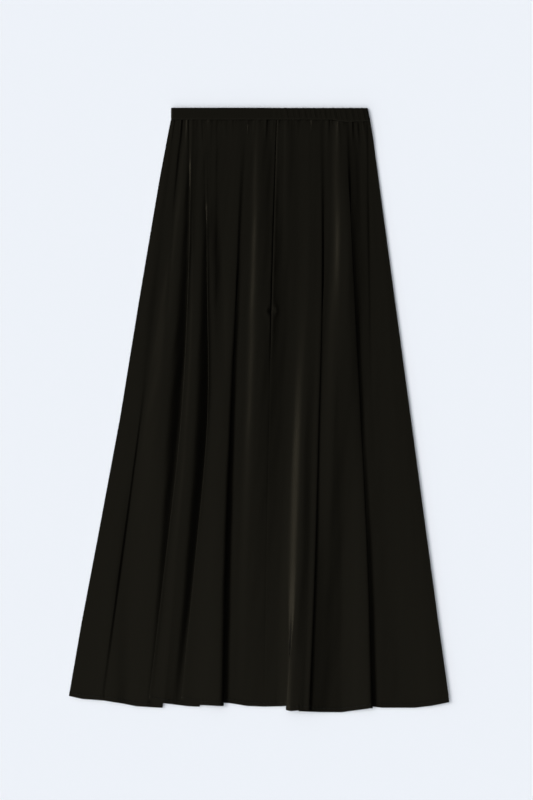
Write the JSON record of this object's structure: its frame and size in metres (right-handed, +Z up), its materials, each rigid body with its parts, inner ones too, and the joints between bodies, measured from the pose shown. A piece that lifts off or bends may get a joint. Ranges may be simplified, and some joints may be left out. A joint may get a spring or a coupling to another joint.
{
  "type": "satin maxi skirt",
  "caption": "Long flared skirt in dark satin with a gathered elastic waistband, laid flat with its soft pleats fanning out to the hem.",
  "frame": {"origin": "on the surface the skirt lies on, under the middle of its box", "axes": "+Y runs from the hem to the waist, +X across the skirt to the right as seen from above, +Z up from the surface"},
  "size_m": [0.6292, 0.9999, 0.0115],
  "materials": {
    "panel_satin": "near-black satin with a soft sheen",
    "back_satin": "near-black satin with a soft sheen",
    "band_satin": "near-black satin, finely crinkled by the elastic"
  },
  "bodies": {
    "root": {"front_left_panel": "panel_satin", "front_right_panel": "panel_satin", "back_panel": "back_satin", "waistband": "band_satin"}
  },
  "joints": []
}
